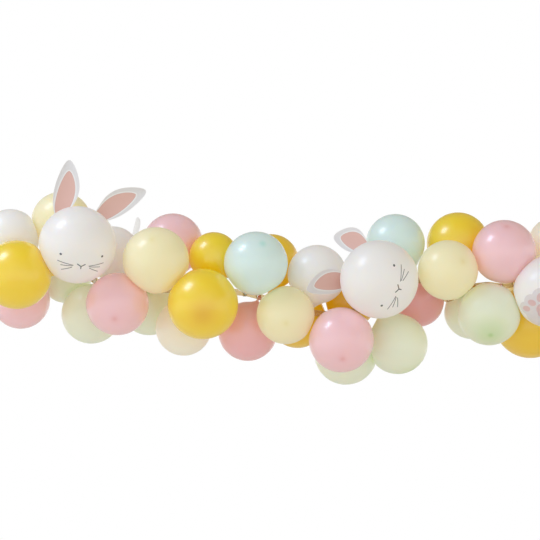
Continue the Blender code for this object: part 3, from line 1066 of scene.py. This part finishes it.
# In millimetres: the line round the middle, the bare cut edge, and how far each edge fades.
LINE_WIDTH = 1.2
CUT_EDGE = 0.9
PRINT_FADE = 1.5
CUT_FADE = 0.5
# The card's fibres: how fine they are, and how strongly and how far they darken the print.
FIBRE_SCALE = 900.0
FIBRE_COVER = 0.25
FIBRE_SHADE = 0.12
BLACK = (0.0, 0.0, 0.0, 1.0)
CARD_CREASE = radians(45)


def card_material(sizes):
    """Printed card: a coloured middle with a darker line round it, a pale band and a greyer border, with a
    faint painted glow in its own colours that brightens it.
    """
    # The card's emission is a painted glow of its own colours, which brightens it where it is in shade.
    material, nodes = new_material("printed_card", {
        "Roughness": 0.55, "Coat Weight": 0.08, "Coat Roughness": 0.30, "Emission Strength": 0.06})
    edge = nodes.add("Attribute", {"attribute_name": "from_edge"}, output=2)
    inside = nodes.add("Attribute", {"attribute_name": "in_middle"}, output=2)
    printed = nodes.add("Attribute", {"attribute_name": "printed"}, output=2)
    band = sizes.band / MILLIMETRE
    pale = ((inside + band) / PRINT_FADE + 0.5).held()
    line = (inside + 0.5).held()
    middle = ((inside - LINE_WIDTH) / PRINT_FADE + 0.5).held()
    trim = ((edge - CUT_EDGE) / CUT_FADE + 0.5).held()
    fibre = nodes.noise(nodes.object_place(), FIBRE_SCALE, 3.0)
    colour = nodes.mix(pale, solid_colour(sizes.border_colour), solid_colour(sizes.pale))
    colour = nodes.mix(line, colour, solid_colour(sizes.middle_edge))
    colour = nodes.mix(middle, colour, solid_colour(sizes.middle))
    side = ((printed - 0.75) * 8.0).held() * trim
    colour = nodes.mix(side, solid_colour(sizes.card), colour)
    darker = nodes.mix(FIBRE_SHADE, colour, BLACK)
    grain = nodes.mix((fibre - 0.35).held() * FIBRE_COVER, colour, darker)
    nodes.feed("Base Color", grain)
    nodes.feed("Emission Color", grain)
    bump = nodes.add("Bump", None, {"Strength": 0.25, "Distance": 0.0002, "Height": fibre})
    nodes.feed("Normal", bump)
    return material


class GARLAND_OT_ears(bpy.types.Operator):
    """Cut the printed card ears and glue them to their balloons"""

    bl_idname = "garland.ears"
    bl_label = "Ears"

    def execute(self, context):
        sizes = context.scene.garland_ears
        material = card_material(sizes)
        balls = all_balls()
        by_name = {ball.name: ball for ball in balls}
        for ear in EARS:
            bm = cut_ear(Leaf(ear, by_name[ear.balloon], sizes), balls)
            piece = finish_piece(bm, ear.name + "_card", material, [ear.name])
            piece.data.set_sharp_from_angle(angle=CARD_CREASE)
        return {"FINISHED"}


HOLE_RADIUS = 0.0055
HOOK_HOLE_RADIUS = 0.0045
# A ring stands this far into its hole, and its corners are this round as a share of its height.
RING_LAP = 0.0002
RING_SOFTNESS = 0.6
RING_CORNER_STEPS = 3
STRIP_CREASE = radians(35)
RIM_ANGLE = radians(50)


def ring_outline(hole_radius, sizes):
    """The section of a raised ring, as (off the hole's middle, along its axis) from the strip's middle."""
    inner = hole_radius - RING_LAP
    outer = inner + sizes.ring_width
    top = STRIP_THICKNESS / 2 + sizes.ring_height
    soft = sizes.ring_height * RING_SOFTNESS
    corners = ((inner, top, 1, 1, pi), (outer, top, -1, 1, pi / 2), (outer, -top, -1, -1, 0.0),
               (inner, -top, 1, -1, -pi / 2))
    points = []
    for off, along, inward, upward, first in corners:
        centre = (off + soft * inward, along - soft * upward)
        for step in range(RING_CORNER_STEPS + 1):
            angle = first - step * pi / (2 * RING_CORNER_STEPS)
            points.append((centre[0] + soft * cos(angle), centre[1] + soft * sin(angle)))
    return points


def add_ring(bm, hole, hole_radius, sizes):
    """Spins a raised ring round a hole."""
    verts = [bm.verts.new((hole.x + off, hole.y + along, hole.z))
             for off, along in ring_outline(hole_radius, sizes)]
    edges = [bm.edges.new(pair) for pair in zip(verts, verts[1:] + verts[:1])]
    bmesh.ops.spin(bm, geom=verts + edges, axis=(0, 1, 0), cent=hole, steps=sizes.ring_sides, angle=tau,
                   use_merge=True)


def shape_strip(sizes):
    """The punched band with rounded edges and a raised ring round each hole."""
    bm = packed_copy("strip")
    bmesh.ops.dissolve_limit(bm, angle_limit=radians(1), verts=bm.verts, edges=bm.edges)
    rims = [edge for edge in bm.edges if edge.is_manifold and edge.calc_face_angle() > RIM_ANGLE]
    bmesh.ops.bevel(bm, geom=rims, offset=sizes.edge, offset_type="OFFSET", affect="EDGES", segments=2,
                    profile=0.5, material=-1, clamp_overlap=True)
    first, *inner, last = strip_holes()
    for hole in inner:
        add_ring(bm, hole, HOLE_RADIUS, sizes)
    for hole in (first, last):
        add_ring(bm, hole, HOOK_HOLE_RADIUS, sizes)
    bmesh.ops.recalc_face_normals(bm, faces=bm.faces)
    return bm


# The streaks run along the strip: how fine they are each way, and how much darker they get.
STREAK_SCALES = (40.0, 1.0, 400.0)
STREAK_SHADE = 0.86


def clear_plastic(sizes):
    """Clear plastic, a little cloudy, with the faint streaks of its moulding."""
    material, nodes = new_material("clear_plastic", {
        "Transmission Weight": 0.8, "IOR": 1.49, "Coat Weight": 0.3})
    streaks = nodes.add("Mapping", None, {"Vector": nodes.object_place(), "Scale": STREAK_SCALES})
    cloud = nodes.noise(streaks, 1.0, 3.0)
    pale = solid_colour(sizes.colour)
    deep = solid_colour([level * STREAK_SHADE for level in sizes.colour])
    nodes.feed("Base Color", nodes.mix(cloud, pale, deep))
    nodes.feed("Roughness", cloud * 0.2 + 0.12)
    return material


class GARLAND_OT_strip(bpy.types.Operator):
    """Mould the strip's raised rings and round its edges"""

    bl_idname = "garland.strip"
    bl_label = "Strip"

    def execute(self, context):
        sizes = context.scene.garland_strip
        bm = shape_strip(sizes)
        piece = finish_piece(bm, "strip_moulded", clear_plastic(sizes), ["strip"])
        piece.data.set_sharp_from_angle(angle=STRIP_CREASE)
        return {"FINISHED"}


FLOOR_SIDES = 96
FLOOR_GLOW = 0.10
FLOOR_SHADE = 0.97
WHITE = (1.0, 1.0, 1.0, 1.0)
# The white band round the horizon, as the heights of its edges on a sphere, and how sharp they are.
HORIZON_TOP = 0.29
HORIZON_FOOT = -0.62
HORIZON_SHARPNESS = 12.0
KEY_DIRECTION = Vector((-0.655, -0.217, 0.733))
KEY_DISTANCE = 6.0
WARM_DIRECTION = Vector((0.80, -0.20, -0.56))
KEY_SIZE = (2.0, 2.2)
# The camera looks straight along +Y at this place on the strip, and its view is this wide there.
AIM = Vector((1.138, 0.0, -0.0144))
VIEW_WIDTH = 1.944
SENSOR = 36.0


def make_floor(sizes):
    bm = bmesh.new()
    bmesh.ops.create_circle(bm, cap_ends=True, segments=FLOOR_SIDES, radius=sizes.floor_radius,
                            matrix=Matrix.Translation((AIM.x, 0.0, -sizes.floor_drop)))
    material, nodes = new_material("floor", {
        "Roughness": 0.8, "Emission Strength": FLOOR_GLOW, "Emission Color": WHITE})
    cloud = nodes.noise(nodes.object_place(), 3.0)
    pale = sizes.floor_colour
    shade = [level * FLOOR_SHADE for level in pale]
    nodes.feed("Base Color", nodes.mix(cloud, solid_colour(pale), solid_colour(shade)))
    mesh_object(bm, "floor", material)


def make_surroundings(scene, sizes):
    """White at eye level, and elsewhere an even light, a glow in front and a warm glow on the right."""
    world = bpy.data.worlds.new("surroundings")
    world.use_nodes = True
    scene.world = world
    nodes = Nodes(world.node_tree)
    background = world.node_tree.nodes["Background"]
    heading = nodes.add("TexCoord", output=0)
    height = nodes.add("SeparateXYZ", None, {0: heading}, 2)
    below_top = ((HORIZON_TOP - height) * HORIZON_SHARPNESS).held()
    above_foot = ((height - HORIZON_FOOT) * HORIZON_SHARPNESS).held()
    light = tuple(level * sizes.sky_level for level in sizes.sky_colour)
    for toward, narrowness, colour, level in (
            (-BACK, sizes.front_narrowness, sizes.front_colour, sizes.front_glow),
            (WARM_DIRECTION.normalized(), sizes.side_narrowness, sizes.side_colour, sizes.side_glow)):
        lobe = nodes.vector("DOT_PRODUCT", heading, toward, output=1).most(0.0).maths("POWER", narrowness)
        glow = nodes.vector("SCALE", tuple(colour), Scale=lobe * level)
        light = nodes.vector("ADD", light, glow)
    colour = nodes.mix(below_top * above_foot, light, WHITE)
    nodes.tree.links.new(colour.socket, background.inputs["Color"])


def make_key_light(sizes):
    light = bpy.data.lights.new("key", "AREA")
    light.shape = "RECTANGLE"
    light.size, light.size_y = KEY_SIZE
    light.energy = sizes.key_power
    light.color = sizes.key_colour
    lamp = add_object("key", light)
    lamp.location = AIM + KEY_DIRECTION * KEY_DISTANCE
    lamp.rotation_mode = "QUATERNION"
    lamp.rotation_quaternion = KEY_DIRECTION.to_track_quat("Z", "Y")


def make_camera(scene, sizes):
    camera = bpy.data.cameras.new("camera")
    camera.sensor_width = SENSOR
    camera.angle = 2 * atan(VIEW_WIDTH / 2 / sizes.camera_distance)
    eye = add_object("camera", camera)
    eye.location = AIM - BACK * sizes.camera_distance
    eye.rotation_euler = (radians(90), 0.0, 0.0)
    scene.camera = eye


class GARLAND_OT_stage(bpy.types.Operator):
    """Make the floor, the pale surroundings, the key light and the camera"""

    bl_idname = "garland.stage"
    bl_label = "Stage"

    def execute(self, context):
        sizes = context.scene.garland_stage
        make_floor(sizes)
        make_surroundings(context.scene, sizes)
        make_key_light(sizes)
        make_camera(context.scene, sizes)
        context.scene.view_settings.view_transform = "Standard"
        return {"FINISHED"}


# Each group of sizes and colours, and the operator that uses it. The latex colours belong to the balloons.
GROUPS = {
    "garland_latex": (LatexColours, None),
    "garland_balloons": (BalloonSizes, GARLAND_OT_balloons),
    "garland_ears": (EarSizes, GARLAND_OT_ears),
    "garland_strip": (StripSizes, GARLAND_OT_strip),
    "garland_stage": (StageSizes, GARLAND_OT_stage),
}


class GARLAND_PT_panel(bpy.types.Panel):
    """The garland's makers and their sizes"""

    bl_idname = "GARLAND_PT_panel"
    bl_label = "Balloon garland"
    bl_space_type = "VIEW_3D"
    bl_region_type = "UI"
    bl_category = "Garland"

    def draw(self, context):
        for name, (group, maker) in GROUPS.items():
            box = self.layout.box()
            for field in group.__annotations__:
                box.prop(getattr(context.scene, name), field)
            if maker:
                box.operator(maker.bl_idname)


CLASSES = [kind for pair in GROUPS.values() for kind in pair if kind] + [GARLAND_PT_panel]


def register():
    for kind in CLASSES:
        bpy.utils.register_class(kind)
    for name, (group, _) in GROUPS.items():
        setattr(bpy.types.Scene, name, PointerProperty(type=group))


def unregister():
    for name in GROUPS:
        delattr(bpy.types.Scene, name)
    for kind in reversed(CLASSES):
        bpy.utils.unregister_class(kind)


def main():
    for thing in list(bpy.data.objects):
        if thing.name in ("Cube", "Light", "Camera"):
            bpy.data.objects.remove(thing, do_unlink=True)
    register()
    bpy.ops.garland.stage()
    bpy.ops.garland.balloons()
    bpy.ops.garland.ears()
    bpy.ops.garland.strip()


if __name__ == "__main__":
    main()
